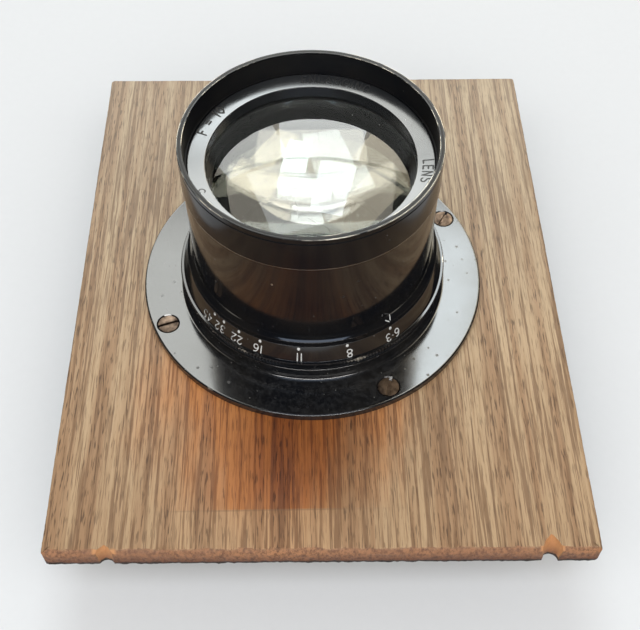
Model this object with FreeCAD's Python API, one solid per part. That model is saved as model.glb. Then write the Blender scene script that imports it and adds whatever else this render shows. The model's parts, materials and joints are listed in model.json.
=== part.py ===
"""A large enlarging lens in a lacquered brass barrel, screwed by its flange to a wooden lens board.

Frame: millimetres, +Z along the lens axis and out of the front glass.  The origin is on the axis
at the rear rim, which is what the lens stands on.  -Y is the side with the aperture scale.
Screw threads are plain cylinders with a small gap.
"""
import FreeCAD
import Part
import math
import os

V = FreeCAD.Vector
AXIS = V(0, 0, 1)
ORIGIN = V(0, 0, 0)

# ---------------------------------------------------------------- heights along the axis
BOARD_BOTTOM_Z = 20.0
BOARD_TOP_Z = 26.0
BARREL_REAR_Z = 20.0          # joint between rear cell and barrel, flush with the board's underside
HUB_TOP_Z = 31.8              # top of the flange's hub
SHOULDER_TOP_Z = 32.65        # barrel shoulder that carries the aperture ring
JOINT_Z = 66.9                # joint between barrel and front cell
NAME_RING_SEAT_Z = 68.6
HOOD_FLOOR_Z = 71.0           # narrow ledge where the hood's bore ends, around the name ring
RIM_TOP_Z = 77.0

# ---------------------------------------------------------------- lens board
BOARD_X = (-61.9, 64.0)
BOARD_Y = (-78.6, 78.85)      # front and back edge, where they cross the lens's own plane x = 0
BOARD_SKEW = 0.0105           # both edges run this much out of square, per millimetre of x
BOARD_BEVEL = 1.0             # worn slope along the top of the front edge
BOARD_HOLE_R = 32.5
BOARD_CORNER_R = 0.8
BOARD_EDGE_R = 0.5
NOTCH_X = (-47.8, 52.9)       # old screw holes that the front edge cuts through
NOTCH_HOLE_R = 1.9
NOTCH_MOUTH_R = 2.8
NOTCH_MOUTH_DEPTH = 2.6
NOTCH_OUTSET = (0.6, -0.1)    # how far each hole's axis lies outside the front edge

# ---------------------------------------------------------------- flange and its screws
FLANGE_R = 44.5
FLANGE_T = 2.0
FLANGE_EDGE = 0.3
HUB_R = 33.8
HUB_FILLET = 0.6
THREAD_GAP = 0.05
SCREW_CIRCLE_R = 40.7
SCREW_ANGLES = (26.6, 116.6, 203.6, 296.6)   # drilled by eye, so not quite even
SLOT_ANGLES = (62.0, 140.0, 18.0, 75.0)      # where each screw came to rest
SCREW_HEAD_R = 2.7
SCREW_SHANK_R = 1.4
SCREW_HEAD_T = 1.3
SCREW_LENGTH = 7.5
SCREW_SLOT_W = 0.7
SCREW_SLOT_DEPTH = 0.6
PILOT_GAP = 0.05

# ---------------------------------------------------------------- barrel and cells
BARREL_R = 30.4
BARREL_REAR_R = 31.4          # threaded part that screws into the flange
SHOULDER_R = 33.7
IRIS_BORE_R = 28.4
FRONT_SOCKET_R = 29.0
FRONT_SOCKET_Z = 61.9
IRIS_LEDGE_R = 24.9
IRIS_LEDGE_Z = (26.4, 27.6)
HOOD_R = 30.75                # a small step wider than the barrel
HOOD_BORE_R = 29.5
REAR_CELL_R = 30.0
GLASS_BORE_R = 26.05
GLASS_STOP_R = 23.2
FRONT_STOP_Z = (55.0, 57.1)
REAR_STOP_Z = (17.4, 26.3)
REAR_RIM_CHAMFER = 0.5

# ---------------------------------------------------------------- glasses
GLASS_R = 26.0
OUTER_EDGE_T = 2.6            # convex outer glass of each group
OUTER_FACE_SAG = 3.63
OUTER_BACK_SAG = 2.85
SPACER_T = 0.8
SPACER_WALL = 1.2
INNER_EDGE_T = 6.5            # hollow inner glass of each group
INNER_BACK_SAG = 1.2
INNER_FACE_SAG = 2.8

# ---------------------------------------------------------------- retaining rings
NAME_RING_R = 28.9
NAME_RING_OPENING_R = 24.8
NAME_RING_TOP_Z = (70.3, 70.9)   # at the opening, and at the ring's outer edge
NAME_RING_FOOT_R = 25.95
SEAT_GAP = 0.02               # between a seat and the glass face that it follows
LOCK_RING_OPENING_R = 24.0
LOCK_RING_T = 2.5
LOCK_RING_SLOT_W = 1.6
LOCK_RING_SLOT_DEPTH = 0.9

# ---------------------------------------------------------------- aperture ring
RING_BORE_R = 30.45
RING_Z = (32.8, 34.8, 38.95)  # bottom, top of the knurled rim, top of the scale cone
KNURL_R = 34.3
KNURL_DEPTH = 0.32
KNURL_TEETH = 252
CONE_R = (33.4, 31.85)
RING_TURN = 84.7              # from f/6.3 to f/45, anticlockwise seen from the front
DRIVE_ANGLE = 40.0            # rest place of the drive screw, on the side away from the scale
DRIVE_Z = 37.0
DRIVE_SHANK_R = 0.8
DRIVE_HEAD_R = 1.3
DRIVE_HEAD_T = 1.0
DRIVE_SINK = 0.25             # how far the head lies below the cone
BARREL_SLOT_HALF = 1.0        # half the width of the slot that the drive screw travels in

# ---------------------------------------------------------------- index collar
COLLAR_R = 31.9               # fixed above the aperture ring, which it keeps on its shoulder
COLLAR_Z = (39.1, 40.7, 41.45)   # bottom, top of the upright wall, top of the sloping face

# ---------------------------------------------------------------- iris
BLADES = 10
OPEN_R = 18.4                 # iris opening at f/6.3
F_WIDE, F_SMALL = 6.3, 45.0
BLADE_TURN = RING_TURN / 2
PIVOT_R = OPEN_R * (1 - F_WIDE / F_SMALL) / (2 * math.sin(math.radians(BLADE_TURN / 2)))
BLADE_SPAN = 180.0 - BLADE_TURN   # angle from pivot pin to drive pin, both on PIVOT_R
BLADE_OUTER_R = 24.2          # at the middle of the crescent
BLADE_END_R = 0.95            # round ends, about the pins
BLADE_TAPER = (24.0, 16.0)    # how far each end is cut back at the inner edge, in degrees
BLADE_T = 0.09
BLADE_SLOPE = 0.12            # every blade leans the same way, so they overlap like petals
BLADE_LEAN = 160.0            # uphill direction, measured from the blade's own pivot radius
PIN_R = 0.4
RIVET_H = 0.1                 # how far each pin stands out of the far side of its leaf
PIN_GAP = 0.03
PLATE_Z = (27.6, 28.6)
PLATE_OPENING_R = 18.6
PIVOT_Z = 28.85               # underside of a blade at its pivot
CAM_Z = (34.1, 35.3, 38.3)    # underside, top of the slotted plate, top of the driving rim
CAM_R = (18.5, 26.4, 28.2)    # opening, inside of the driving rim, outside
CAM_SLOT_OUTER_R = 22.35
CAM_SLOT_PLAY = 0.42          # half the sideways travel of a drive pin in its radial slot
RETAINER_Z = (38.5, 39.7)
RETAINER_R = (19.2, 28.3)


def polar(radius, angle, z=0.0):
    """Point at a radius and an angle in degrees about the axis."""
    turn = math.radians(angle)
    return V(radius * math.cos(turn), radius * math.sin(turn), z)


def turned(points):
    """Solid of revolution about the axis from a closed outline of (radius, z) corners."""
    corners = [V(radius, 0, z) for radius, z in points]
    corners.append(corners[0])
    face = Part.Face(Part.makePolygon(corners))
    return face.revolve(ORIGIN, AXIS, 360)


def tube(outer_r, inner_r, bottom, top):
    """Plain ring with square edges."""
    return turned([(inner_r, bottom), (outer_r, bottom), (outer_r, top), (inner_r, top)])


def disc(radius, bottom, top, centre=ORIGIN):
    """Upright cylinder between two heights."""
    foot = V(centre.x, centre.y, bottom)
    return Part.makeCylinder(radius, top - bottom, foot)


def glass(edge_bottom, edge_top, sag_bottom, sag_top):
    """Lens element on the axis; a positive sag bulges outward and a negative one is hollow."""
    bottom_edge = V(GLASS_R, 0, edge_bottom)
    top_edge = V(GLASS_R, 0, edge_top)

    def cap(edge, sag):
        """Spherical face as an arc from the rim of the glass to the axis, with its pole."""
        radius = (GLASS_R ** 2 + sag ** 2) / (2 * abs(sag))
        half = math.asin(GLASS_R / radius) / 2
        drop = radius * (1 - math.cos(half)) * math.copysign(1, sag)
        pole = V(0, 0, edge.z + sag)
        middle = V(radius * math.sin(half), 0, pole.z - drop)
        return Part.Arc(edge, middle, pole).toShape(), pole

    lower, lower_pole = cap(bottom_edge, -sag_bottom)
    upper, upper_pole = cap(top_edge, sag_top)
    axis_line = Part.LineSegment(lower_pole, upper_pole).toShape()
    rim_line = Part.LineSegment(bottom_edge, top_edge).toShape()
    outline = Part.Wire(Part.__sortEdges__([lower, rim_line, upper, axis_line]))
    return Part.Face(outline).revolve(ORIGIN, AXIS, 360)


def face_height(radius, sag):
    """How far a bulging glass face stands beyond the plane of its edge, at a radius."""
    sphere = (GLASS_R ** 2 + sag ** 2) / (2 * sag)
    return math.sqrt(sphere ** 2 - radius ** 2) - (sphere - sag)


def board_edge(x, y):
    """Place on a skewed front or back edge, at height zero."""
    return V(x, y - BOARD_SKEW * x, 0)


def front_bevel():
    """Wedge to cut off the top of the front edge."""
    reach = BOARD_BEVEL + 1
    start = board_edge(BOARD_X[0] - 1, BOARD_Y[0])
    end = board_edge(BOARD_X[1] + 1, BOARD_Y[0])
    corners = [start + V(0, -1, BOARD_TOP_Z - reach), start + V(0, -1, BOARD_TOP_Z + 1),
               start + V(0, reach, BOARD_TOP_Z + 1)]
    return Part.Face(Part.makePolygon(corners + corners[:1])).extrude(end - start)


def lens_board():
    """Ash board with the barrel's hole, pilot holes, and two old screw holes cut by its edge."""
    corners = [board_edge(BOARD_X[0], BOARD_Y[0]), board_edge(BOARD_X[1], BOARD_Y[0]),
               board_edge(BOARD_X[1], BOARD_Y[1]), board_edge(BOARD_X[0], BOARD_Y[1])]
    foot = [corner + V(0, 0, BOARD_BOTTOM_Z) for corner in corners]
    board = Part.Face(Part.makePolygon(foot + foot[:1])).extrude(V(0, 0, BOARD_TOP_Z - BOARD_BOTTOM_Z))
    upright = [edge for edge in board.Edges if abs(edge.tangentAt(edge.FirstParameter).z) > 0.9]
    board = board.makeFillet(BOARD_CORNER_R, upright)
    rim = [edge for edge in board.Edges if edge.BoundBox.ZLength < 0.01]
    board = board.makeFillet(BOARD_EDGE_R, rim)
    board = board.cut(front_bevel())
    board = board.cut(disc(BOARD_HOLE_R, BOARD_BOTTOM_Z - 1, BOARD_TOP_Z + 1))
    for angle in SCREW_ANGLES:
        place = polar(SCREW_CIRCLE_R, angle)
        pilot_end = BOARD_TOP_Z + FLANGE_T - SCREW_LENGTH - PILOT_GAP
        board = board.cut(disc(SCREW_SHANK_R + PILOT_GAP, pilot_end, BOARD_TOP_Z + 1, place))
    for x, outset in zip(NOTCH_X, NOTCH_OUTSET):
        centre = board_edge(x, BOARD_Y[0] - outset)
        hole = disc(NOTCH_HOLE_R, BOARD_BOTTOM_Z - 1, BOARD_TOP_Z + 1, centre)
        mouth_foot = V(centre.x, centre.y, BOARD_TOP_Z - NOTCH_MOUTH_DEPTH)
        mouth = Part.makeCone(NOTCH_HOLE_R, NOTCH_MOUTH_R, NOTCH_MOUTH_DEPTH, mouth_foot)
        board = board.cut(hole.fuse(mouth))
    return board


def flange():
    """Round flange with a threaded hub for the barrel and four countersunk holes."""
    bore = BARREL_REAR_R + THREAD_GAP
    top = BOARD_TOP_Z + FLANGE_T
    body = turned([
        (bore, BOARD_TOP_Z), (FLANGE_R, BOARD_TOP_Z), (FLANGE_R, top - FLANGE_EDGE),
        (FLANGE_R - FLANGE_EDGE, top), (HUB_R + HUB_FILLET, top), (HUB_R, top + HUB_FILLET),
        (HUB_R, HUB_TOP_Z - FLANGE_EDGE), (HUB_R - FLANGE_EDGE, HUB_TOP_Z), (bore, HUB_TOP_Z)])
    for angle in SCREW_ANGLES:
        place = polar(SCREW_CIRCLE_R, angle)
        body = body.cut(disc(SCREW_SHANK_R + 2 * PILOT_GAP, BOARD_TOP_Z - 1, top + 1, place))
        sink_foot = V(place.x, place.y, top - SCREW_HEAD_T)
        sink_r = (SCREW_SHANK_R + 2 * PILOT_GAP, SCREW_HEAD_R + 2 * PILOT_GAP)
        body = body.cut(Part.makeCone(*sink_r, SCREW_HEAD_T, sink_foot))
    return body


def flange_screws():
    """Four slotted countersunk wood screws, each a separate solid with a pointed end."""
    top = BOARD_TOP_Z + FLANGE_T
    point_length = 2.0
    screws = []
    for angle, slot_angle in zip(SCREW_ANGLES, SLOT_ANGLES):
        place = polar(SCREW_CIRCLE_R, angle)
        head_foot = V(place.x, place.y, top - SCREW_HEAD_T)
        head = Part.makeCone(SCREW_SHANK_R, SCREW_HEAD_R, SCREW_HEAD_T, head_foot)
        shank_foot = top - SCREW_LENGTH + point_length
        shank = disc(SCREW_SHANK_R, shank_foot, top - SCREW_HEAD_T, place)
        point_foot = V(place.x, place.y, top - SCREW_LENGTH)
        point = Part.makeCone(0.2, SCREW_SHANK_R, point_length, point_foot)
        slot_length = 2 * SCREW_HEAD_R + 1
        slot = Part.makeBox(slot_length, SCREW_SLOT_W, 2 * SCREW_SLOT_DEPTH)
        slot.translate(V(-slot_length / 2, -SCREW_SLOT_W / 2, -SCREW_SLOT_DEPTH))
        slot.rotate(ORIGIN, AXIS, slot_angle)
        slot.translate(V(place.x, place.y, top))
        screws.append(head.fuse([shank, point]).removeSplitter().cut(slot))
    return Part.makeCompound(screws)


def barrel():
    """Main tube: rear thread, shoulder, long polished body, iris ledge and the drive screw's slot."""
    body = turned([
        (BARREL_REAR_R, BARREL_REAR_Z), (BARREL_REAR_R, HUB_TOP_Z), (SHOULDER_R, HUB_TOP_Z),
        (SHOULDER_R, SHOULDER_TOP_Z), (BARREL_R, SHOULDER_TOP_Z), (BARREL_R, JOINT_Z),
        (FRONT_SOCKET_R, JOINT_Z), (FRONT_SOCKET_R, FRONT_SOCKET_Z), (IRIS_BORE_R, FRONT_SOCKET_Z),
        (IRIS_BORE_R, IRIS_LEDGE_Z[1]), (IRIS_LEDGE_R, IRIS_LEDGE_Z[1]),
        (IRIS_LEDGE_R, IRIS_LEDGE_Z[0]), (IRIS_BORE_R, IRIS_LEDGE_Z[0]), (IRIS_BORE_R, BARREL_REAR_Z)])
    slot_inner_r = IRIS_BORE_R - 1
    slot_outer_r = BARREL_R + 1
    arc = tube(slot_outer_r, slot_inner_r, DRIVE_Z - BARREL_SLOT_HALF, DRIVE_Z + BARREL_SLOT_HALF)
    wedge = Part.makeCylinder(slot_outer_r + 1, 2 * RIM_TOP_Z, ORIGIN, AXIS, RING_TURN)
    wedge.rotate(ORIGIN, AXIS, DRIVE_ANGLE)
    slot = arc.common(wedge)
    for end in (DRIVE_ANGLE, DRIVE_ANGLE + RING_TURN):
        start = polar(slot_inner_r, end, DRIVE_Z)
        rounded_end = Part.makeCylinder(BARREL_SLOT_HALF, slot_outer_r - slot_inner_r, start, polar(1, end))
        slot = slot.fuse(rounded_end)
    return body.cut(slot)


def index_collar():
    """Fixed ring pressed on the barrel; the aperture index is engraved on its sloping face."""
    bottom, wall_top, top = COLLAR_Z
    return turned([(BARREL_R, bottom), (COLLAR_R, bottom), (COLLAR_R, wall_top), (BARREL_R, top)])


def front_cell():
    """Hood and front glass mount in one turning, screwed into the barrel's front."""
    return turned([
        (HOOD_R, JOINT_Z), (HOOD_R, RIM_TOP_Z), (HOOD_BORE_R, RIM_TOP_Z), (HOOD_BORE_R, HOOD_FLOOR_Z),
        (NAME_RING_R + THREAD_GAP, HOOD_FLOOR_Z), (NAME_RING_R + THREAD_GAP, NAME_RING_SEAT_Z),
        (GLASS_BORE_R, NAME_RING_SEAT_Z),
        (GLASS_BORE_R, FRONT_STOP_Z[1]), (GLASS_STOP_R, FRONT_STOP_Z[1]), (GLASS_STOP_R, FRONT_STOP_Z[0]),
        (IRIS_BORE_R - THREAD_GAP, FRONT_STOP_Z[0]), (IRIS_BORE_R - THREAD_GAP, FRONT_SOCKET_Z + THREAD_GAP),
        (FRONT_SOCKET_R - THREAD_GAP, FRONT_SOCKET_Z + THREAD_GAP), (FRONT_SOCKET_R - THREAD_GAP, JOINT_Z)])


def name_ring():
    """Retaining ring with a slightly dished face, which presses on the outer glass."""
    glass_edge = FRONT_STOP_Z[1] + INNER_EDGE_T + SPACER_T + OUTER_EDGE_T
    foot_inner = glass_edge + face_height(NAME_RING_OPENING_R, OUTER_FACE_SAG) + SEAT_GAP
    foot_outer = glass_edge + face_height(NAME_RING_FOOT_R, OUTER_FACE_SAG) + SEAT_GAP
    return turned([
        (NAME_RING_OPENING_R, foot_inner), (NAME_RING_FOOT_R, foot_outer),
        (NAME_RING_FOOT_R, NAME_RING_SEAT_Z), (NAME_RING_R, NAME_RING_SEAT_Z),
        (NAME_RING_R, NAME_RING_TOP_Z[1]), (NAME_RING_OPENING_R, NAME_RING_TOP_Z[0])])


def spacer_ring(inner_side, outer_side):
    """Spacer between two glasses; its outer side follows the outer glass's bulging back."""
    inner_r = GLASS_R - SPACER_WALL
    recess = math.copysign(face_height(inner_r, OUTER_BACK_SAG) + SEAT_GAP, inner_side - outer_side)
    return turned([
        (inner_r, inner_side), (GLASS_R, inner_side), (GLASS_R, outer_side),
        (inner_r, outer_side + recess)])


def front_group():
    """Outer glass, spacer and inner glass, from the front inward."""
    inner_bottom = FRONT_STOP_Z[1]
    inner_top = inner_bottom + INNER_EDGE_T
    outer_bottom = inner_top + SPACER_T
    outer = glass(outer_bottom, outer_bottom + OUTER_EDGE_T, OUTER_BACK_SAG, OUTER_FACE_SAG)
    spacer = spacer_ring(inner_top, outer_bottom)
    inner = glass(inner_bottom, inner_top, -INNER_BACK_SAG, -INNER_FACE_SAG)
    return outer, spacer, inner


def rear_group():
    """The front group turned end for end: inner glass, spacer and outer glass."""
    inner_top = REAR_STOP_Z[0]
    inner_bottom = inner_top - INNER_EDGE_T
    outer_top = inner_bottom - SPACER_T
    inner = glass(inner_bottom, inner_top, -INNER_FACE_SAG, -INNER_BACK_SAG)
    spacer = spacer_ring(inner_bottom, outer_top)
    outer = glass(outer_top - OUTER_EDGE_T, outer_top, OUTER_FACE_SAG, OUTER_BACK_SAG)
    return inner, spacer, outer


def rear_cell():
    """Rear glass mount, screwed into the barrel inside the board; its rim is the lowest point."""
    return turned([
        (GLASS_BORE_R, 0), (REAR_CELL_R - REAR_RIM_CHAMFER, 0), (REAR_CELL_R, REAR_RIM_CHAMFER),
        (REAR_CELL_R, BARREL_REAR_Z), (IRIS_BORE_R - THREAD_GAP, BARREL_REAR_Z),
        (IRIS_BORE_R - THREAD_GAP, REAR_STOP_Z[1]), (GLASS_STOP_R, REAR_STOP_Z[1]),
        (GLASS_STOP_R, REAR_STOP_Z[0]), (GLASS_BORE_R, REAR_STOP_Z[0])])


def rear_lock_ring():
    """Threaded ring that holds the rear glasses, with two slots for a spanner."""
    top = REAR_STOP_Z[0] - INNER_EDGE_T - SPACER_T - OUTER_EDGE_T
    bottom = top - LOCK_RING_T
    recess = face_height(LOCK_RING_OPENING_R, OUTER_FACE_SAG) + SEAT_GAP
    ring = turned([
        (LOCK_RING_OPENING_R, bottom), (GLASS_R, bottom), (GLASS_R, top),
        (LOCK_RING_OPENING_R, top - recess)])
    slots = Part.makeBox(3 * GLASS_R, LOCK_RING_SLOT_W, LOCK_RING_SLOT_DEPTH)
    slots.translate(V(-1.5 * GLASS_R, -LOCK_RING_SLOT_W / 2, bottom))
    return ring.cut(slots)


def drive_screw_bore(radius, inner_r, outer_r):
    """Radial cylinder at the drive screw's place."""
    start = polar(inner_r, DRIVE_ANGLE, DRIVE_Z)
    return Part.makeCylinder(radius, outer_r - inner_r, start, polar(1, DRIVE_ANGLE))


def drive_head_r():
    """Radius at which the drive screw's head ends, just below the scale cone."""
    share = (DRIVE_Z - RING_Z[1]) / (RING_Z[2] - RING_Z[1])
    return CONE_R[0] + share * (CONE_R[1] - CONE_R[0]) - DRIVE_SINK


def aperture_ring():
    """Scale ring: a straight-knurled rim below a cone that carries the engraved stops."""
    bottom, knurl_top, top = RING_Z
    knurl = []
    for step in range(2 * KNURL_TEETH + 1):
        radius = KNURL_R if step % 2 == 0 else KNURL_R - KNURL_DEPTH
        knurl.append(polar(radius, 180.0 * step / KNURL_TEETH, bottom))
    rim = Part.Face(Part.makePolygon(knurl)).extrude(V(0, 0, knurl_top - bottom))
    rim = rim.cut(disc(RING_BORE_R, bottom - 1, knurl_top + 1))
    cone = turned([(RING_BORE_R, knurl_top), (CONE_R[0], knurl_top), (CONE_R[1], top), (RING_BORE_R, top)])
    ring = rim.fuse(cone)
    head_r = drive_head_r()
    ring = ring.cut(drive_screw_bore(DRIVE_SHANK_R + THREAD_GAP, BARREL_R, KNURL_R + 1))
    return ring.cut(drive_screw_bore(DRIVE_HEAD_R + THREAD_GAP, head_r - DRIVE_HEAD_T, KNURL_R + 1))


def aperture_drive_screw():
    """Cheese-head screw from the aperture ring through the barrel's slot into the cam ring."""
    head_r = drive_head_r()
    head = drive_screw_bore(DRIVE_HEAD_R, head_r - DRIVE_HEAD_T, head_r)
    shank = drive_screw_bore(DRIVE_SHANK_R, CAM_R[1] + 0.1, head_r - DRIVE_HEAD_T)
    slot = Part.makeBox(1.0, 4 * DRIVE_HEAD_R, 0.4, V(head_r - 0.4, -2 * DRIVE_HEAD_R, DRIVE_Z - 0.2))
    slot.rotate(ORIGIN, AXIS, DRIVE_ANGLE)
    return head.fuse(shank).cut(slot)


def iris_cam_ring():
    """Slotted plate that moves every blade's drive pin, with a tall rim for the drive screw."""
    ring = turned([
        (CAM_R[0], CAM_Z[0]), (CAM_R[2], CAM_Z[0]), (CAM_R[2], CAM_Z[2]), (CAM_R[1], CAM_Z[2]),
        (CAM_R[1], CAM_Z[1]), (CAM_R[0], CAM_Z[1])])
    half_width = PIN_R + CAM_SLOT_PLAY + PIN_GAP
    height = CAM_Z[1] - CAM_Z[0] + 1
    for number in range(BLADES):
        angle = BLADE_SPAN + 360.0 * number / BLADES
        slot = Part.makeBox(CAM_SLOT_OUTER_R - CAM_R[0] + 1, 2 * half_width, height)
        slot.translate(V(CAM_R[0] - 1, -half_width, CAM_Z[0] - 0.5))
        slot.rotate(ORIGIN, AXIS, angle)
        ring = ring.cut(slot)
    return ring.cut(drive_screw_bore(DRIVE_SHANK_R + THREAD_GAP, CAM_R[1] - 1, CAM_R[2] + 1))


def iris_base_plate():
    """Fixed plate on the barrel's ledge with one bearing hole for each blade's pivot pin."""
    plate = tube(IRIS_BORE_R - 0.1, PLATE_OPENING_R, *PLATE_Z)
    for number in range(BLADES):
        centre = polar(PIVOT_R, 360.0 * number / BLADES)
        plate = plate.cut(disc(PIN_R + PIN_GAP, PLATE_Z[0] - 1, PLATE_Z[1] + 1, centre))
    return plate


def on_leaf(point):
    """The same point lifted onto a blade's leaning underside."""
    uphill = polar(1, BLADE_LEAN)
    rise = BLADE_SLOPE * (point - polar(PIVOT_R, 0)).dot(uphill)
    return V(point.x, point.y, PIVOT_Z + rise)


def blade_leaf():
    """Crescent between the pivot end at angle 0 and the drive end at BLADE_SPAN, with round ends."""
    outer_middle = on_leaf(polar(BLADE_OUTER_R, BLADE_SPAN / 2))
    inner_middle = on_leaf(polar(OPEN_R, BLADE_SPAN / 2))
    inner_start = on_leaf(polar(OPEN_R, BLADE_TAPER[0]))
    inner_end = on_leaf(polar(OPEN_R, BLADE_SPAN - BLADE_TAPER[1]))
    radii = (PIVOT_R - BLADE_END_R, PIVOT_R + BLADE_END_R)
    pivot_in, pivot_out = [on_leaf(polar(radius, 0)) for radius in radii]
    drive_in, drive_out = [on_leaf(polar(radius, BLADE_SPAN)) for radius in radii]
    pivot_tip = on_leaf(polar(PIVOT_R, 0) + polar(BLADE_END_R, -90))
    drive_tip = on_leaf(polar(PIVOT_R, BLADE_SPAN) + polar(BLADE_END_R, BLADE_SPAN + 90))
    edges = [
        Part.Arc(pivot_out, outer_middle, drive_out).toShape(),
        Part.Arc(drive_out, drive_tip, drive_in).toShape(),
        Part.LineSegment(drive_in, inner_end).toShape(),
        Part.Arc(inner_end, inner_middle, inner_start).toShape(),
        Part.LineSegment(inner_start, pivot_in).toShape(),
        Part.Arc(pivot_in, pivot_tip, pivot_out).toShape()]
    uphill = polar(1, BLADE_LEAN)
    normal = V(-BLADE_SLOPE * uphill.x, -BLADE_SLOPE * uphill.y, 1).normalize()
    return Part.Face(Part.Wire(edges)).extrude(normal * BLADE_T)


def iris_blade(number):
    """Thin leaning leaf with a pivot pin below one end and a drive pin above the other."""
    pivot = polar(PIVOT_R, 0)
    drive = polar(PIVOT_R, BLADE_SPAN)
    drive_z = on_leaf(drive).z
    pivot_pin = disc(PIN_R, PLATE_Z[0], PIVOT_Z + BLADE_T + RIVET_H, pivot)
    drive_pin = disc(PIN_R, drive_z - RIVET_H, CAM_Z[1], drive)
    blade = blade_leaf().fuse([pivot_pin, drive_pin])
    blade.rotate(ORIGIN, AXIS, 360.0 * number / BLADES)
    return blade


def build():
    """Every node of the lens, by name."""
    front_outer_glass, front_spacer, front_inner_glass = front_group()
    rear_inner_glass, rear_spacer, rear_outer_glass = rear_group()
    nodes = {
        "lens_board": lens_board(),
        "flange": flange(),
        "flange_screws": flange_screws(),
        "barrel": barrel(),
        "aperture_ring": aperture_ring(),
        "aperture_drive_screw": aperture_drive_screw(),
        "index_collar": index_collar(),
        "iris_base_plate": iris_base_plate(),
        "iris_cam_ring": iris_cam_ring(),
        "iris_retaining_ring": tube(RETAINER_R[1], RETAINER_R[0], *RETAINER_Z),
        "front_cell": front_cell(),
        "name_ring": name_ring(),
        "front_outer_glass": front_outer_glass,
        "front_spacer": front_spacer,
        "front_inner_glass": front_inner_glass,
        "rear_cell": rear_cell(),
        "rear_inner_glass": rear_inner_glass,
        "rear_spacer": rear_spacer,
        "rear_outer_glass": rear_outer_glass,
        "rear_lock_ring": rear_lock_ring(),
    }
    for number in range(BLADES):
        nodes["iris_blade_%02d" % (number + 1)] = iris_blade(number)
    return nodes


os.makedirs("parts", exist_ok=True)
for name, shape in build().items():
    print(name, shape.ShapeType, len(shape.Solids), shape.isValid(), round(shape.Volume, 2))
    shape.exportStep("parts/" + name + ".step")
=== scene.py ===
"""Looks of a large enlarging lens, screwed by its flange to a worn wooden lens board.

Lengths are in millimetres until a mesh, a light or the camera is made, and MM turns them into metres.
Radii and heights come from the frame's nodes where a node gives them, and are named below where not.
Angles are in degrees about the lens axis, anticlockwise seen from the front, from +X.
"""
import json
import math

import bmesh
import bpy
from mathutils import Euler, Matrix, Quaternion, Vector, noise


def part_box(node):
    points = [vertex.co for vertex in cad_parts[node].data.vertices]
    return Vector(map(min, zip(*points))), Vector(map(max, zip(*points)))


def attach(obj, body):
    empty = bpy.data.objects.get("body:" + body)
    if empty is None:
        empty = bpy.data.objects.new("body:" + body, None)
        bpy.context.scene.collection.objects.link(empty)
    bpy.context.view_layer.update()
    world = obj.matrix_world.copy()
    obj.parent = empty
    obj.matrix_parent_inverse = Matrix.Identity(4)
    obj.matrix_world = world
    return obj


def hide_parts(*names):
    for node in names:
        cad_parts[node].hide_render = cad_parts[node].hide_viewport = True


MM = 0.001
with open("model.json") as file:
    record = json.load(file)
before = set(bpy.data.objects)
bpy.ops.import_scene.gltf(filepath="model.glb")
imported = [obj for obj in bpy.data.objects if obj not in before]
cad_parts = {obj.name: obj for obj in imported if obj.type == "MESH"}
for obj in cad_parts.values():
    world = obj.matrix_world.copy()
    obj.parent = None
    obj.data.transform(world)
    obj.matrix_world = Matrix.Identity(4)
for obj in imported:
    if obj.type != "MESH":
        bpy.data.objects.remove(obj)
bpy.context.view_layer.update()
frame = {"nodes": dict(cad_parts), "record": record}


# ---------------------------------------------------------------- sizes read from the frame
def span(node):
    """Lowest and highest corner of a node, in millimetres."""
    low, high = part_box(node)
    return low / MM, high / MM


board_low, board_high = span("lens_board")
flange_low, flange_high = span("flange")
collar_low, collar_high = span("index_collar")
ring_low, ring_high = span("aperture_ring")
cell_high = span("front_cell")[1]
name_high = span("name_ring")[1]
barrel_high = span("barrel")[1]

FLANGE_R = flange_high.x
COLLAR_R = collar_high.x
KNURL_R = ring_high.x
HOOD_R = cell_high.x
NAME_RING_R = name_high.x
JOINT_Z = barrel_high.z           # where the hood meets the barrel

# ---------------------------------------------------------------- sizes that a node's box does not give
FLANGE_T = 2.0
HUB_R = 33.8
THREAD_R = 31.45                  # bore of the flange
SCREW_CIRCLE_R = 40.7
SCREW_ANGLES = (26.6, 116.6, 203.6, 296.6)
SLOT_ANGLES = (62.0, 140.0, 18.0, 75.0)
SCREW_HEAD_R = 2.7
SCREW_SHANK_R = 1.4
SCREW_HEAD_T = 1.3
SCREW_LENGTH = 7.5
SCREW_SLOT = (0.7, 0.6)           # width and depth

BARREL_R = 30.4
RING_BORE_R = 30.45
RIM_H = 2.0                       # height of the knurled rim
CONE_R = (33.4, 31.85)            # bottom and top of the scale cone
TEETH = 252
TOOTH_DEPTH = 0.32
DRIVE_ANGLE = 40.0
DRIVE_Z = 37.0
DRIVE_HEAD_R = 1.35
COLLAR_WALL_H = 1.6               # upright part of the index collar, below its sloping face

HOOD_BORE_R = 29.5
HOOD_FLOOR_Z = 71.0
NAME_SEAT_Z = 68.6
GLASS_BORE_R = 26.05
CELL_STOP = (23.2, 55.0, 57.1)    # radius, bottom and top of the ledge that carries the glasses
SOCKET_R = (28.35, 28.95)
SOCKET_Z = 61.95
NAME_OPENING_R = 24.8
NAME_FACE_Z = (70.3, 70.9)        # at the opening and at the outer edge
NAME_FOOT = (25.95, 67.05, 67.3)  # radius, outer and inner height of the foot on the glass

BOARD_HOLE_R = 32.5
BOARD_SKEW = 0.0105               # front and back edge run this much out of square, per unit of x
BOARD_BEVEL = 1.0                 # worn slope along the top of the front edge
FRONT_Y = board_low.y + BOARD_SKEW * board_high.x   # front and back edge where they cross x = 0
BACK_Y = board_high.y + BOARD_SKEW * board_low.x
NOTCH_X = (-47.8, 52.9)
NOTCH_OUTSET = (0.6, -0.1)
NOTCH_BREAK = ((2.45, 2.8), (2.5, 4.0))  # half width and depth of the splintered mouth at the top face
NOTCH_HOLE_R = 1.9
STAIN_EDGE_Y = -68.0              # where a strip once covered the board's front


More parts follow.
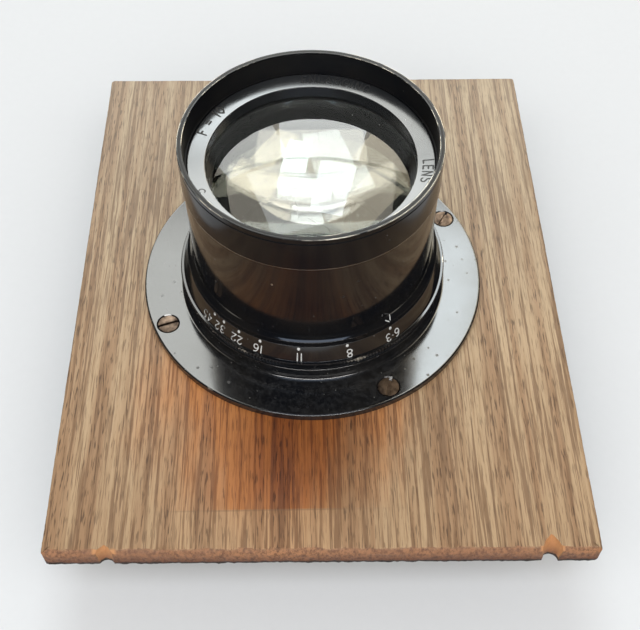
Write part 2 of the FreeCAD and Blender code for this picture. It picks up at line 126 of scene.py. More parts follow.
# ---------------------------------------------------------------- mesh helpers
GUARD = 0.2             # longest distance from an arc to its guard point


def new_object(name, bm, body, slot, *replaced):
    """Object from a finished bmesh, smooth but for its sharp corners, riding on a body."""
    bmesh.ops.recalc_face_normals(bm, faces=bm.faces)
    mesh = bpy.data.meshes.new(name)
    bm.to_mesh(mesh)
    bm.free()
    mesh.shade_smooth()
    mesh.set_sharp_from_angle(angle=math.radians(35))
    piece = bpy.data.objects.new(name, mesh)
    bpy.context.scene.collection.objects.link(piece)
    if body:
        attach(piece, body)
    if replaced:
        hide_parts(*replaced)
    return piece


def rounded(outline, steps=4):
    """Outline of (radius, height, rounding, wear) corners with each rounding turned into an arc.

    A guard point on either side of each arc keeps its wear and its shading to the corner.
    """
    points = []
    for index, (r, z, rounding, wear) in enumerate(outline):
        here = Vector((r, z))
        before = Vector(outline[index - 1][:2]) - here
        after = Vector(outline[(index + 1) % len(outline)][:2]) - here
        if rounding == 0:
            points.append((r, z, wear))
            continue
        half = before.angle(after) / 2
        shorter = min(before.length, after.length)
        reach = min(rounding / math.tan(half), 0.4 * shorter)
        guard = min(GUARD, 0.08 * shorter)
        start = here + before.normalized() * reach
        end = here + after.normalized() * reach
        middle = (before.normalized() + after.normalized()).normalized()
        centre = here + middle * (reach / math.cos(half))
        points.append((*(start + before.normalized() * guard), 0))
        for step in range(steps + 1):
            chord = start.lerp(end, step / steps) - centre
            point = centre + chord.normalized() * (start - centre).length
            points.append((point.x, point.y, wear))
        points.append((*(end + after.normalized() * guard), 0))
    return points


def turned(outline, segments=192, radius_at=None):
    """Bmesh of a closed outline turned about the axis; wear goes into a vertex layer.

    radius_at(radius, height, angle) may change a point's radius as it goes round.
    """
    profile = rounded(outline)
    bm = bmesh.new()
    wear_layer = bm.verts.layers.float.new("wear")
    rings = []
    for step in range(segments):
        angle = 2 * math.pi * step / segments
        ring = []
        for r, z, wear in profile:
            radius = radius_at(r, z, angle) if radius_at else r
            vert = bm.verts.new(Vector((radius * math.cos(angle), radius * math.sin(angle), z)) * MM)
            vert[wear_layer] = wear
            ring.append(vert)
        rings.append(ring)
    for step, ring in enumerate(rings):
        following = rings[(step + 1) % segments]
        for k in range(len(profile)):
            j = (k + 1) % len(profile)
            bm.faces.new((ring[k], following[k], following[j], ring[j]))
    return bm


def cut(piece, *cutters):
    """Cuts closed meshes out of a piece and removes them."""
    for cutter in cutters:
        modifier = piece.modifiers.new("cut", "BOOLEAN")
        modifier.operation = "DIFFERENCE"
        modifier.solver = "EXACT"
        modifier.object = cutter
        bpy.context.view_layer.objects.active = piece
        with bpy.context.temp_override(object=piece, active_object=piece):
            bpy.ops.object.modifier_apply(modifier=modifier.name)
        mesh = cutter.data
        bpy.data.objects.remove(cutter)
        bpy.data.meshes.remove(mesh)
    piece.data.set_sharp_from_angle(angle=math.radians(35))


def peg(name, levels, centre=(0, 0, 0), turn=None, segments=32):
    """Closed round cutter from (radius, height) levels, upright unless turned, then moved to a centre."""
    bm = bmesh.new()
    loops = []
    for r, z in levels:
        loop = []
        for step in range(segments):
            angle = 2 * math.pi * step / segments
            loop.append(bm.verts.new(Vector((r * math.cos(angle), r * math.sin(angle), z))))
        loops.append(loop)
    for below, above in zip(loops, loops[1:]):
        for step in range(segments):
            following = (step + 1) % segments
            bm.faces.new((below[step], below[following], above[following], above[step]))
    bm.faces.new(loops[0])
    bm.faces.new(loops[-1])
    for vert in bm.verts:
        place = vert.co.copy()
        if turn:
            place.rotate(turn)
        vert.co = (place + Vector(centre)) * MM
    return new_object(name, bm, None, None)


def polar(radius, angle, z=0.0):
    """Point at a radius and an angle about the axis."""
    turn = math.radians(angle)
    return Vector((radius * math.cos(turn), radius * math.sin(turn), z))


# ---------------------------------------------------------------- material helpers
def add(tree, kind, inputs=None, **settings):
    """New shader node with its settings, and each input either set or linked."""
    made = tree.nodes.new(kind)
    for key, value in settings.items():
        setattr(made, key, value)
    for key, value in (inputs or {}).items():
        if isinstance(value, bpy.types.NodeSocket):
            tree.links.new(value, made.inputs[key])
        else:
            made.inputs[key].default_value = value
    return made


def begin(name):
    """New material: its tree, its Principled shader and object coordinates."""
    material = bpy.data.materials.new(name)
    material.use_nodes = True
    tree = material.node_tree
    shader = tree.nodes["Principled BSDF"]
    place = add(tree, "ShaderNodeTexCoord").outputs["Object"]
    return material, tree, shader, place


def grain(tree, place, scale, stretch=(1, 1, 1), detail=4.0, rough=0.55, warp=0.0):
    """Noise value, with the place stretched by a factor along each axis first."""
    moved = add(tree, "ShaderNodeMapping", {"Vector": place, "Scale": stretch}).outputs["Vector"]
    return add(tree, "ShaderNodeTexNoise", {
        "Vector": moved, "Scale": scale, "Detail": detail, "Roughness": rough, "Distortion": warp,
    }).outputs["Fac"]


def between(tree, value, low, high, to_low=0.0, to_high=1.0):
    """Value spread from one range to another and held at its ends."""
    return add(tree, "ShaderNodeMapRange", {
        "Value": value, "From Min": low, "From Max": high, "To Min": to_low, "To Max": to_high,
    }).outputs["Result"]


def calc(tree, operation, first, second=0.0):
    """One step of arithmetic on two values."""
    return add(tree, "ShaderNodeMath", {0: first, 1: second}, operation=operation).outputs[0]


def blend(tree, share, first, second, mode="MIX"):
    """Mix of two colours."""
    made = add(tree, "ShaderNodeMix", data_type="RGBA", blend_type=mode)
    for socket, value in ((made.inputs[0], share), (made.inputs[6], first), (made.inputs[7], second)):
        if isinstance(value, bpy.types.NodeSocket):
            tree.links.new(value, socket)
        else:
            socket.default_value = value
    return made.outputs[2]


def rgb(red, green, blue):
    """Colour with full alpha."""
    return (red, green, blue, 1.0)


def bumped(tree, shader, height, strength, distance):
    """Bump from a height value, with the distance in millimetres."""
    normal = add(tree, "ShaderNodeBump", {
        "Height": height, "Strength": strength, "Distance": distance * MM,
    }).outputs["Normal"]
    tree.links.new(normal, shader.inputs["Normal"])


def specks(tree, place, scale, size, share):
    """Small round specks: 1 inside, for a share of the cells of a pattern."""
    cells = add(tree, "ShaderNodeTexVoronoi", {"Vector": place, "Scale": scale})
    near = between(tree, cells.outputs["Distance"], size, size * 0.6)
    chosen = add(tree, "ShaderNodeSeparateColor", {"Color": cells.outputs["Color"]}).outputs[0]
    kept = calc(tree, "LESS_THAN", chosen, share)
    return calc(tree, "MULTIPLY", near, kept)


# ---------------------------------------------------------------- materials
def lacquer(name, roughness, dust=0.05, ior=1.6, film=0.0):
    """Black stoved lacquer on brass: gloss with smears and dust, and bare metal where it is worn.

    Below zero, a piece's wear stands for matt paint instead.  The film is a thin patchy haze on the gloss.
    """
    material, tree, shader, place = begin(name)
    smear = grain(tree, place, 70, detail=5)
    fine = grain(tree, place, 900, detail=3)
    dirt = specks(tree, place, 620, 0.1, dust)
    chips = specks(tree, place, 95, 0.03, 0.25)
    wear = add(tree, "ShaderNodeAttribute", attribute_name="wear").outputs["Fac"]
    uneven = calc(tree, "MULTIPLY", calc(tree, "SUBTRACT", grain(tree, place, 160, detail=6), 0.5), 2.2)
    uneven = calc(tree, "MULTIPLY", uneven, between(tree, wear, 0.0, 0.2))
    bare = between(tree, calc(tree, "ADD", wear, uneven), 0.62, 0.8)
    bare = calc(tree, "MAXIMUM", bare, chips)
    black = blend(tree, between(tree, smear, 0.35, 0.7), rgb(0.004, 0.0045, 0.006), rgb(0.010, 0.009, 0.008))
    haze = between(tree, grain(tree, place, 800, detail=6, rough=0.7), 0.45, 0.7, 0.0, film)
    black = blend(tree, haze, black, rgb(0.11, 0.11, 0.11))
    dusty = blend(tree, dirt, black, rgb(0.10, 0.10, 0.09))
    metal = blend(tree, fine, rgb(0.60, 0.57, 0.50), rgb(0.36, 0.31, 0.24))
    tree.links.new(blend(tree, bare, dusty, metal), shader.inputs["Base Color"])
    tree.links.new(calc(tree, "MULTIPLY", bare, 0.9), shader.inputs["Metallic"])
    gloss = between(tree, smear, 0.3, 0.75, roughness * 0.7, roughness * 1.4)
    spoilt = calc(tree, "MAXIMUM", calc(tree, "MULTIPLY", bare, 0.3), calc(tree, "MULTIPLY", dirt, 0.6))
    dusty = calc(tree, "MULTIPLY", specks(tree, place, 300, 0.16, dust * 2), 0.4)
    spoilt = calc(tree, "MAXIMUM", spoilt, dusty)
    matt = between(tree, wear, -0.1, -0.6, 0.0, 0.55)
    spoilt = calc(tree, "MAXIMUM", spoilt, matt)
    tree.links.new(calc(tree, "MAXIMUM", gloss, spoilt), shader.inputs["Roughness"])
    shader.inputs["IOR"].default_value = ior
    bumped(tree, shader, calc(tree, "ADD", smear, calc(tree, "MULTIPLY", fine, 0.06)), 0.25, 0.02)
    return material


def matt_black():
    """Blackened brass inside the lens."""
    material, tree, shader, place = begin("matt_black")
    fine = grain(tree, place, 1500, detail=4)
    colour = blend(tree, fine, rgb(0.006, 0.006, 0.006), rgb(0.02, 0.019, 0.018))
    tree.links.new(colour, shader.inputs["Base Color"])
    tree.links.new(between(tree, fine, 0.3, 0.7, 0.5, 0.8), shader.inputs["Roughness"])
    bumped(tree, shader, fine, 0.4, 0.03)
    return material


def satin_black():
    """Satin lacquer of the name ring, with fine turning marks."""
    material, tree, shader, place = begin("satin_black")
    smear = grain(tree, place, 120, detail=5)
    dirt = specks(tree, place, 700, 0.12, 0.05)
    black = blend(tree, smear, rgb(0.010, 0.011, 0.012), rgb(0.024, 0.025, 0.026))
    tree.links.new(blend(tree, dirt, black, rgb(0.3, 0.3, 0.29)), shader.inputs["Base Color"])
    tree.links.new(between(tree, smear, 0.3, 0.7, 0.13, 0.2), shader.inputs["Roughness"])
    shader.inputs["IOR"].default_value = 1.8
    bumped(tree, shader, grain(tree, place, 400, detail=3), 0.15, 0.01)
    return material


def optical_glass():
    """Clear uncoated glass with a little dust."""
    material, tree, shader, place = begin("optical_glass")
    dust = specks(tree, place, 600, 0.08, 0.04)
    film = grain(tree, place, 90, detail=5)
    shader.inputs["Transmission Weight"].default_value = 1.0
    shader.inputs["IOR"].default_value = 1.53
    tree.links.new(blend(tree, dust, rgb(0.97, 0.99, 0.96), rgb(0.7, 0.7, 0.68)), shader.inputs["Base Color"])
    haze = between(tree, film, 0.5, 0.75, 0.0, 0.03)
    tree.links.new(calc(tree, "MAXIMUM", haze, calc(tree, "MULTIPLY", dust, 0.6)), shader.inputs["Roughness"])
    return material


def aged_metal(name, light, dark, roughness):
    """Tarnished screw metal with fine scratches."""
    material, tree, shader, place = begin(name)
    tarnish = grain(tree, place, 500, detail=6)
    scratch = grain(tree, place, 1500, stretch=(1, 0.12, 1), detail=3)
    tree.links.new(blend(tree, between(tree, tarnish, 0.35, 0.65), light, dark), shader.inputs["Base Color"])
    shader.inputs["Metallic"].default_value = 0.92
    tree.links.new(between(tree, tarnish, 0.3, 0.7, roughness, roughness + 0.25), shader.inputs["Roughness"])
    bumped(tree, shader, calc(tree, "ADD", tarnish, scratch), 0.3, 0.06)
    return material


def engraving_paint(name, colour, worn):
    """Paint rubbed into an engraving, with some of it lost where the piece says it is worn."""
    material, tree, shader, place = begin(name)
    wear = add(tree, "ShaderNodeAttribute", attribute_name="wear").outputs["Fac"]
    patch = grain(tree, place, 1400, detail=4)
    lost = between(tree, calc(tree, "ADD", patch, calc(tree, "MULTIPLY", wear, worn)), 0.66, 0.78)
    tree.links.new(blend(tree, lost, colour, rgb(0.03, 0.03, 0.03)), shader.inputs["Base Color"])
    shader.inputs["Roughness"].default_value = 0.6
    return material


def distance_from(tree, axis, x, y, x_reach=1.0, y_reach=1.0):
    """Distance in plan from a point, in reaches; x, y and the reaches are in millimetres."""
    away_x = calc(tree, "DIVIDE", calc(tree, "SUBTRACT", axis[0], x * MM), x_reach * MM)
    away_y = calc(tree, "DIVIDE", calc(tree, "SUBTRACT", axis[1], y * MM), y_reach * MM)
    squares = calc(tree, "ADD",
                   calc(tree, "MULTIPLY", away_x, away_x),
                   calc(tree, "MULTIPLY", away_y, away_y))
    return calc(tree, "SQRT", squares)


def long_grain(tree, place, axis):
    """Unstained ash: pale and pinkish bands, fine dark lines and short pores, greyer towards the back and
    darker towards the front.
    """
    bands = grain(tree, place, 260, stretch=(1, 0.016, 1), detail=2, warp=0.2)
    lines = grain(tree, place, 1250, stretch=(1, 0.022, 1), detail=3, rough=0.6, warp=0.1)
    streaks = grain(tree, place, 1700, stretch=(1, 0.04, 1), detail=4, rough=0.6)
    pores = grain(tree, place, 3000, stretch=(1, 0.07, 1), detail=2, rough=0.5)
    blotch = grain(tree, place, 30, stretch=(1, 0.6, 1), detail=4)
    early = between(tree, bands, 0.44, 0.60)
    pale = blend(tree, early, rgb(0.52, 0.385, 0.235), rgb(0.37, 0.235, 0.13))
    lined = blend(tree, between(tree, lines, 0.50, 0.58, 0.0, 0.8), pale, rgb(0.18, 0.10, 0.05))
    streaked = blend(tree, between(tree, streaks, 0.5, 0.68, 0.0, 0.6), lined, rgb(0.23, 0.135, 0.07))
    open_pores = calc(tree, "MULTIPLY",
                      between(tree, pores, 0.55, 0.64),
                      between(tree, early, 0.0, 1.0, 0.4, 0.9))
    pored = blend(tree, open_pores, streaked, rgb(0.08, 0.045, 0.025))
    back = between(tree, axis[1], board_low.y * MM, board_high.y * MM)
    greyed = blend(tree, between(tree, back, 0.3, 1.0, 0.0, 0.28), pored, rgb(0.35, 0.31, 0.25))
    toned = blend(tree, between(tree, blotch, 0.4, 0.7, 0.0, 0.25), greyed, rgb(0.26, 0.16, 0.085))
    # darker and warmer towards the front of the board
    darker_towards_front = blend(tree, between(tree, back, 0.05, 0.75), rgb(0.84, 0.75, 0.66), rgb(1.0, 1.0, 1.0))
    return blend(tree, 1.0, toned, darker_towards_front, "MULTIPLY"), bands, blotch, streaks, open_pores


def stained(tree, wood, axis, bands, blotch):
    """Orange oil stain in front of the flange, up to the straight edge of a strip that once lay there."""
    uneven = calc(tree, "MULTIPLY", calc(tree, "SUBTRACT", bands, 0.5), 0.9)
    uneven = calc(tree, "ADD", uneven, calc(tree, "MULTIPLY", calc(tree, "SUBTRACT", blotch, 0.5), 1.5))
    inside = between(tree, axis[1], STAIN_EDGE_Y * MM, (STAIN_EDGE_Y + 0.4) * MM, 0.35, 1.0)
    wide = calc(tree, "ADD", distance_from(tree, axis, -9, -38, 34, 52), uneven)
    light = calc(tree, "MULTIPLY", between(tree, wide, 1.12, 0.5), inside)
    core = calc(tree, "ADD", distance_from(tree, axis, -3, -50, 18, 26), calc(tree, "MULTIPLY", uneven, 0.5))
    deep = calc(tree, "MULTIPLY", between(tree, core, 1.2, 0.4), inside)
    orange = blend(tree, calc(tree, "MULTIPLY", light, 0.9), wood, rgb(0.98, 0.52, 0.22), "MULTIPLY")
    brown = blend(tree, calc(tree, "MULTIPLY", deep, 0.9), orange, rgb(0.56, 0.42, 0.22), "MULTIPLY")
    beside = calc(tree, "ABSOLUTE", calc(tree, "SUBTRACT", axis[1], STAIN_EDGE_Y * MM))
    score = calc(tree, "MULTIPLY", between(tree, beside, 0.3 * MM, 0.1 * MM), between(tree, light, 0.0, 0.2))
    return blend(tree, calc(tree, "MULTIPLY", score, 0.35), brown, rgb(0.12, 0.06, 0.03))


def old_wood():
    """Ash board: straight grain along Y, an oil stain by the flange, dark end grain with painted shade along
    its lower part, and two fresh breaks.
    """
    material, tree, shader, place = begin("old_wood")
    axis = add(tree, "ShaderNodeSeparateXYZ", {"Vector": place}).outputs
    wood, bands, blotch, streaks, pores = long_grain(tree, place, axis)
    wood = stained(tree, wood, axis, bands, blotch)
    normal = add(tree, "ShaderNodeNewGeometry").outputs["Normal"]
    facing = add(tree, "ShaderNodeSeparateXYZ", {"Vector": normal}).outputs
    dots = grain(tree, place, 1300, stretch=(1, 1, 0.6), detail=4, rough=0.7)
    end_colour = blend(tree, between(tree, dots, 0.42, 0.62), rgb(0.35, 0.165, 0.075), rgb(0.12, 0.056, 0.03))
    end_colour = blend(tree, between(tree, blotch, 0.4, 0.65, 0.0, 0.5), end_colour, rgb(0.20, 0.10, 0.06))
    end = between(tree, calc(tree, "ABSOLUTE", facing[1]), 0.35, 0.7)
    ended = blend(tree, end, wood, end_colour)
    # the two broken screw holes: fresh orange wood on their walls, a little inside the front face
    front = calc(tree, "ADD", axis[1], calc(tree, "MULTIPLY", axis[0], BOARD_SKEW))
    inward = between(tree, front, (FRONT_Y + 0.3) * MM, (FRONT_Y + 0.5) * MM)
    sloping = between(tree, facing[2], 0.985, 0.94)
    for x in NOTCH_X:
        near = between(tree, distance_from(tree, axis, x, FRONT_Y, 1.0, 2.0), 3.0, 2.4)
        fresh = calc(tree, "MULTIPLY", calc(tree, "MULTIPLY", near, inward), sloping)
        ended = blend(tree, fresh, ended, blend(tree, dots, rgb(0.55, 0.27, 0.11), rgb(0.38, 0.17, 0.07)))
    # painted shade: the end grain is darkened towards the bottom of the board's edge, where less light
    # reaches it
    shade_on_low_end_grain = calc(tree, "MULTIPLY", end,
                 between(tree, axis[2], (board_high.z - 1.2) * MM, (board_low.z + 2) * MM))
    ended = blend(tree, calc(tree, "MULTIPLY", shade_on_low_end_grain, 0.8), ended, rgb(0.50, 0.42, 0.42), "MULTIPLY")
    ragged = calc(tree, "ADD", axis[2], calc(tree, "MULTIPLY", calc(tree, "SUBTRACT", dots, 0.5), 2.5 * MM))
    low_edge = between(tree, ragged, (board_low.z + 1.5) * MM, (board_low.z + 0.8) * MM, 0.0, 0.93)
    finished = blend(tree, low_edge, ended, rgb(0.012, 0.010, 0.009))
    tree.links.new(finished, shader.inputs["Base Color"])
    tree.links.new(between(tree, streaks, 0.3, 0.7, 0.5, 0.7), shader.inputs["Roughness"])
    shader.inputs["Specular IOR Level"].default_value = 0.25
    relief = calc(tree, "SUBTRACT", calc(tree, "MULTIPLY", streaks, 0.6), calc(tree, "MULTIPLY", pores, 0.6))
    bumped(tree, shader, relief, 0.5, 0.15)
    return material


def paper():
    """Pale floor with a faint tooth."""
    material, tree, shader, place = begin("paper")
    tooth = grain(tree, place, 400, detail=3)
    pale = blend(tree, tooth, rgb(0.66, 0.66, 0.655), rgb(0.68, 0.68, 0.675))
    tree.links.new(pale, shader.inputs["Base Color"])
    shader.inputs["Roughness"].default_value = 0.8
    return material


MATERIALS = {
    "lens_board": old_wood(),
    "black_lacquer": lacquer("black_lacquer", 0.09),
    "flange_lacquer": lacquer("flange_lacquer", 0.14, dust=0.45, ior=1.75, film=0.14),
    "hood_lacquer": lacquer("hood_lacquer", 0.12, ior=1.3),
    "satin_black": satin_black(),
    "matt_black": matt_black(),
    "glass": optical_glass(),
    "aged_brass": aged_metal("aged_brass", rgb(0.16, 0.115, 0.085), rgb(0.045, 0.03, 0.022), 0.4),
    "blade_steel": aged_metal("blade_steel", rgb(0.06, 0.06, 0.065), rgb(0.03, 0.03, 0.035), 0.4),
    "white_paint": engraving_paint("white_paint", rgb(0.5, 0.5, 0.48), 0.32),
    "black_paint": engraving_paint("black_paint", rgb(0.016, 0.016, 0.016), 0.0),
}


def finish_with(piece, material):
    """Gives a piece one material."""
    piece.data.materials.clear()
    piece.data.materials.append(MATERIALS[material])


def dress_frame():
    """Puts a material on every node of the frame by its slot."""
    for part in frame["record"]["subparts"]:
        for place in frame["nodes"][part["node"]].material_slots:
            place.material = MATERIALS[part["material_slot"]]


# ---------------------------------------------------------------- turned parts
def make_flange():
    """Flange and hub with softened edges, a swept foot, and four countersunk holes."""
    base, plate = flange_low.z, flange_low.z + FLANGE_T
    outline = [
        (THREAD_R, base, 0, 0), (FLANGE_R, base, 0.1, 0.2), (FLANGE_R, plate, 0.4, 0.3),
        (HUB_R, plate, 0.9, 0), (HUB_R, flange_high.z, 0.3, 0.2), (THREAD_R, flange_high.z, 0, 0)]
    piece = new_object("flange_turned", turned(outline, 256), "root", "black_lacquer", "flange")
    shank = (SCREW_SHANK_R + 0.1, base - 1)
    sink_r = SCREW_HEAD_R + 0.3
    for number, angle in enumerate(SCREW_ANGLES):
        levels = [shank, (SCREW_SHANK_R + 0.1, plate - SCREW_HEAD_T - 0.2),
                  (sink_r, plate), (sink_r, plate + 1)]
        cut(piece, peg("countersink_%d" % number, levels, polar(SCREW_CIRCLE_R, angle)))
    finish_with(piece, "flange_lacquer")


def make_screws():
    """Four slotted countersunk screws, heads slightly crowned and scarred."""
    plate = flange_low.z + FLANGE_T
    for number, (angle, slot_angle) in enumerate(zip(SCREW_ANGLES, SLOT_ANGLES)):
        place = polar(SCREW_CIRCLE_R, angle)
        tip = plate - SCREW_LENGTH
        levels = [(0.3, tip), (SCREW_SHANK_R, tip + 2), (SCREW_SHANK_R, plate - SCREW_HEAD_T),
                  (SCREW_HEAD_R - 0.05, plate - 0.15), (SCREW_HEAD_R - 0.12, plate - 0.06),
                  (SCREW_HEAD_R - 0.5, plate + 0.01), (1.0, plate + 0.05)]
        screw = peg("flange_screw_%d" % (number + 1), levels, place, segments=48)
        width, depth = SCREW_SLOT
        bm = bmesh.new()
        bmesh.ops.create_cube(bm, size=1.0)
        for vert in bm.verts:
            local = Vector((vert.co.x * 8, vert.co.y * width, vert.co.z * 2 * depth))
            local.rotate(Euler((0, 0, math.radians(slot_angle))))
            vert.co = (local + place + Vector((0, 0, plate))) * MM
        cut(screw, new_object("slot", bm, None, None))
        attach(screw, "root")
        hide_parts("flange_screws")
        finish_with(screw, "aged_brass")


def make_aperture_ring():
    """Scale ring: rounded straight knurl below the engraved cone, with the drive screw's seat."""
    bottom, knurl_top, top = ring_low.z, ring_low.z + RIM_H, ring_high.z
    root_r = KNURL_R - TOOTH_DEPTH

    def toothed(radius, height, angle):
        """Ridges on the rim, fading towards its bevelled edges."""
        if radius < root_r - 0.01 or height > knurl_top + 0.01:
            return radius
        ridge = 0.5 + 0.5 * math.cos(TEETH * angle)
        return root_r + (radius - root_r) * ridge

    outline = [
        (RING_BORE_R, bottom, 0, 0), (root_r, bottom, 0, 0), (KNURL_R, bottom + 0.3, 0, 0.2),
        (KNURL_R, knurl_top - 0.3, 0, 0.52), (root_r, knurl_top, 0, 0.35), (CONE_R[0], knurl_top, 0.1, 0),
        (CONE_R[1], top, 0.12, 0.25), (RING_BORE_R, top, 0, 0)]
    ring = new_object("aperture_ring_turned", turned(outline, TEETH * 6, toothed), "aperture",
                      "black_lacquer", "aperture_ring")
    turn = Vector((0, 0, 1)).rotation_difference(polar(1, DRIVE_ANGLE))
    levels = [(DRIVE_HEAD_R, 0.0), (DRIVE_HEAD_R, 6.0)]
    cut(ring, peg("drive_seat", levels, polar(31.0, DRIVE_ANGLE, DRIVE_Z), turn))
    finish_with(ring, "black_lacquer")


def make_index_collar():
    """Fixed collar above the ring, with a sloping face for the index."""
    wall_top = collar_low.z + COLLAR_WALL_H
    outline = [
        (BARREL_R, collar_low.z, 0, 0), (COLLAR_R, collar_low.z, 0.1, 0.2), (COLLAR_R, wall_top, 0.1, 0.2),
        (BARREL_R + 0.02, collar_high.z, 0, 0), (BARREL_R, collar_high.z, 0, 0)]
    finish_with(new_object("index_collar_turned", turned(outline, 256), "root", "black_lacquer",
                           "index_collar"), "black_lacquer")


def make_front_cell():
    """Hood and glass mount, with a worn rim, a fine groove below it and a softened joint."""
    rim = cell_high.z
    groove = rim - 1.5
    outline = [
        (HOOD_R, JOINT_Z, 0.2, 1.1), (HOOD_R, groove - 0.25, 0.06, 0), (HOOD_R - 0.15, groove, 0.06, 0),
        (HOOD_R, groove + 0.25, 0.06, 0), (HOOD_R, rim, 0.13, 0.72),
        ((HOOD_R + HOOD_BORE_R) / 2, rim, 0, -1), (HOOD_BORE_R, rim, 0.1, 0.6),
        (HOOD_BORE_R, rim - 0.8, 0, -1), (HOOD_BORE_R, HOOD_FLOOR_Z, 0, -1),
        (NAME_RING_R + 0.05, HOOD_FLOOR_Z, 0, 0),
        (NAME_RING_R + 0.05, NAME_SEAT_Z, 0, 0), (GLASS_BORE_R, NAME_SEAT_Z, 0, 0),
        (GLASS_BORE_R, CELL_STOP[2], 0, 0), (CELL_STOP[0], CELL_STOP[2], 0, 0),
        (CELL_STOP[0], CELL_STOP[1], 0, 0), (SOCKET_R[0], CELL_STOP[1], 0, 0),
        (SOCKET_R[0], SOCKET_Z, 0, 0), (SOCKET_R[1], SOCKET_Z, 0, 0), (SOCKET_R[1], JOINT_Z, 0, 0)]
    finish_with(new_object("front_cell_turned", turned(outline, 256), "root", "hood_lacquer",
                           "front_cell"), "hood_lacquer")


def make_name_ring():
    """Retaining ring with a dished satin face and a softened opening."""
    outline = [
        (NAME_OPENING_R, NAME_FOOT[2], 0, 0), (NAME_FOOT[0], NAME_FOOT[1], 0, 0),
        (NAME_FOOT[0], NAME_SEAT_Z, 0, 0), (NAME_RING_R, NAME_SEAT_Z, 0, 0),
        (NAME_RING_R, NAME_FACE_Z[1], 0.15, 0), (NAME_OPENING_R, NAME_FACE_Z[0], 0.2, 0.1)]
    finish_with(new_object("name_ring_turned", turned(outline, 256), "root", "satin_black",
                           "name_ring"), "satin_black")


# ---------------------------------------------------------------- engraving
# Each sign is a list of strokes in a box one unit high; a stroke is "line" or "curve" through points.
SIGNS = {
    "0": (0.62, [("curve", [(0.31, 0), (0.04, 0.3), (0.04, 0.7), (0.31, 1),
                            (0.58, 0.7), (0.58, 0.3), (0.31, 0)])]),
    "1": (0.22, [("line", [(0.11, 0), (0.11, 1)])]),
    "2": (0.62, [("curve", [(0.05, 0.76), (0.14, 0.95), (0.33, 1.0), (0.55, 0.84), (0.5, 0.58), (0.26, 0.3),
                            (0.04, 0.0)]), ("line", [(0.04, 0), (0.6, 0)])]),
    "3": (0.58, [("curve", [(0.05, 0.86), (0.28, 1.0), (0.5, 0.82), (0.44, 0.6), (0.22, 0.54)]),
                 ("curve", [(0.22, 0.54), (0.48, 0.46), (0.54, 0.24), (0.3, 0.0), (0.03, 0.14)])]),
    "4": (0.64, [("line", [(0.46, 0), (0.46, 1)]), ("line", [(0.46, 1), (0.03, 0.3)]),
                 ("line", [(0.03, 0.3), (0.62, 0.3)])]),
    "5": (0.58, [("line", [(0.52, 1), (0.14, 1)]), ("line", [(0.14, 1), (0.09, 0.56)]),
                 ("curve", [(0.09, 0.56), (0.3, 0.65), (0.54, 0.45),
                            (0.5, 0.14), (0.26, 0.0), (0.03, 0.12)])]),
    "6": (0.6, [("curve", [(0.5, 0.96), (0.28, 0.92), (0.08, 0.6), (0.05, 0.28), (0.18, 0.03), (0.42, 0.02),
                           (0.56, 0.25), (0.46, 0.52), (0.24, 0.56), (0.07, 0.38)])]),
    "8": (0.58, [("curve", [(0.29, 0.54), (0.08, 0.68), (0.1, 0.92), (0.29, 1.0), (0.48, 0.92), (0.5, 0.68),
                            (0.29, 0.54), (0.04, 0.34), (0.08, 0.08), (0.29, 0), (0.5, 0.08), (0.54, 0.34),
                            (0.29, 0.54)])]),
    ".": (0.2, [("line", [(0.1, 0.5), (0.1, 0.52)])]),
    "=": (0.62, [("line", [(0.06, 0.36), (0.56, 0.36)]), ("line", [(0.06, 0.64), (0.56, 0.64)])]),
    "A": (0.7, [("line", [(0.02, 0), (0.35, 1)]), ("line", [(0.35, 1), (0.68, 0)]),
                ("line", [(0.14, 0.33), (0.56, 0.33)])]),
    "E": (0.56, [("line", [(0.08, 0), (0.08, 1)]), ("line", [(0.08, 1), (0.54, 1)]),
                 ("line", [(0.08, 0.52), (0.46, 0.52)]), ("line", [(0.08, 0), (0.54, 0)])]),
    "F": (0.54, [("line", [(0.08, 0), (0.08, 1)]), ("line", [(0.08, 1), (0.52, 1)]),
                 ("line", [(0.08, 0.52), (0.44, 0.52)])]),
    "G": (0.7, [("curve", [(0.62, 0.82), (0.38, 1.0), (0.12, 0.84), (0.04, 0.5), (0.12, 0.16), (0.38, 0.0),
                           (0.64, 0.16)]), ("line", [(0.64, 0.16), (0.64, 0.46)]),
                ("line", [(0.64, 0.46), (0.42, 0.46)])]),
    "I": (0.22, [("line", [(0.11, 0), (0.11, 1)])]),
    "L": (0.52, [("line", [(0.08, 0), (0.08, 1)]), ("line", [(0.08, 0), (0.5, 0)])]),
    "N": (0.68, [("line", [(0.08, 0), (0.08, 1)]), ("line", [(0.08, 1), (0.6, 0)]),
                 ("line", [(0.6, 0), (0.6, 1)])]),
    "R": (0.62, [("line", [(0.08, 0), (0.08, 1)]), ("curve", [(0.08, 1), (0.36, 1), (0.56, 0.86), (0.54, 0.6),
                 (0.34, 0.5), (0.08, 0.5)]), ("line", [(0.34, 0.5), (0.6, 0)])]),
    "S": (0.58, [("curve", [(0.52, 0.86), (0.3, 1.0), (0.08, 0.86), (0.1, 0.62), (0.3, 0.51), (0.5, 0.4),
                            (0.54, 0.16), (0.3, 0.0), (0.04, 0.13)])]),
    " ": (0.45, []),
}


def through(points, steps=5):
    """Smooth line through points, as short straight pieces."""
    line = []
    for k in range(len(points) - 1):
        a = Vector(points[max(k - 1, 0)])
        b, c = Vector(points[k]), Vector(points[k + 1])
        d = Vector(points[min(k + 2, len(points) - 1)])
        for step in range(steps):
            t = step / steps
            line.append(0.5 * (2 * b + (c - a) * t + (2 * a - 5 * b + 4 * c - d) * t ** 2
                               + (3 * b - a - 3 * c + d) * t ** 3))
    line.append(Vector(points[-1]))
    return line


